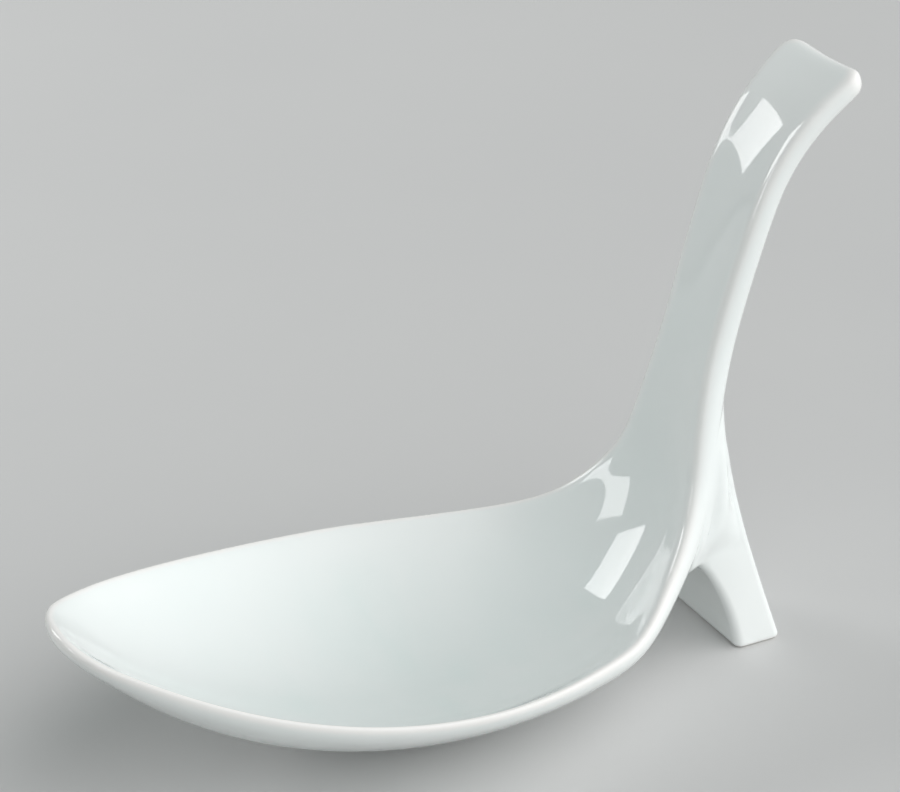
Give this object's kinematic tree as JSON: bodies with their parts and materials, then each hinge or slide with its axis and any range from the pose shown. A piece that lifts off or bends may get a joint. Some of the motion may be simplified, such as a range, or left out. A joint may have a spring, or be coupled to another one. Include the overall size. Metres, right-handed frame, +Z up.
{
  "type": "amuse bouche spoon",
  "caption": "Porcelain tasting spoon with a pointed oval bowl, a steep handle that curls back at its top, and a slab foot on which it stands by itself.",
  "frame": {"origin": "on the table, under the middle of the spoon's length, on its plane of symmetry", "axes": "+X along the length from the bowl's tip towards the handle and foot, +Y across, +Z up from the table"},
  "size_m": [0.1333, 0.0628, 0.0972],
  "materials": {
    "porcelain": "glossy cool white glaze"
  },
  "bodies": {
    "root": {"spoon": "porcelain"}
  },
  "joints": []
}
